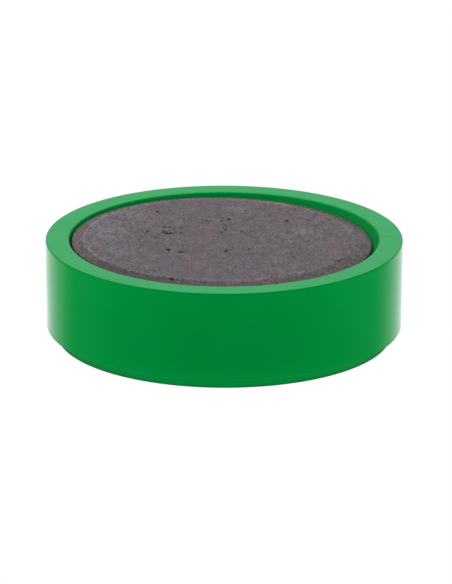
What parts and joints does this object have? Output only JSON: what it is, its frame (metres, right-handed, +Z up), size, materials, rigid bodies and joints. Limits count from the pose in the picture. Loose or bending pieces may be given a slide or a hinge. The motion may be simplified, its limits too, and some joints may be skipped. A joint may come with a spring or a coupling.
{
  "type": "round magnetic holder",
  "caption": "Squat round moulded cup with a recessed ferrite magnet disc, laid face up, for holding steel work or small tools against it.",
  "frame": {"origin": "centre of the cup's underside, on the surface it rests on", "axes": "+Z up out of the cup's open mouth, through the magnet's working face; the disc leans so that its -X side stands higher"},
  "size_m": [0.06, 0.06, 0.0171],
  "materials": {
    "green_plastic": "satin",
    "ferrite": "satin",
    "plated_steel": "satin",
    "adhesive": "gloss"
  },
  "bodies": {
    "root": {"housing": "green_plastic", "ferrite_magnet": "ferrite", "back_plate": "plated_steel", "plate_adhesive": "adhesive", "magnet_adhesive": "adhesive"}
  },
  "joints": []
}
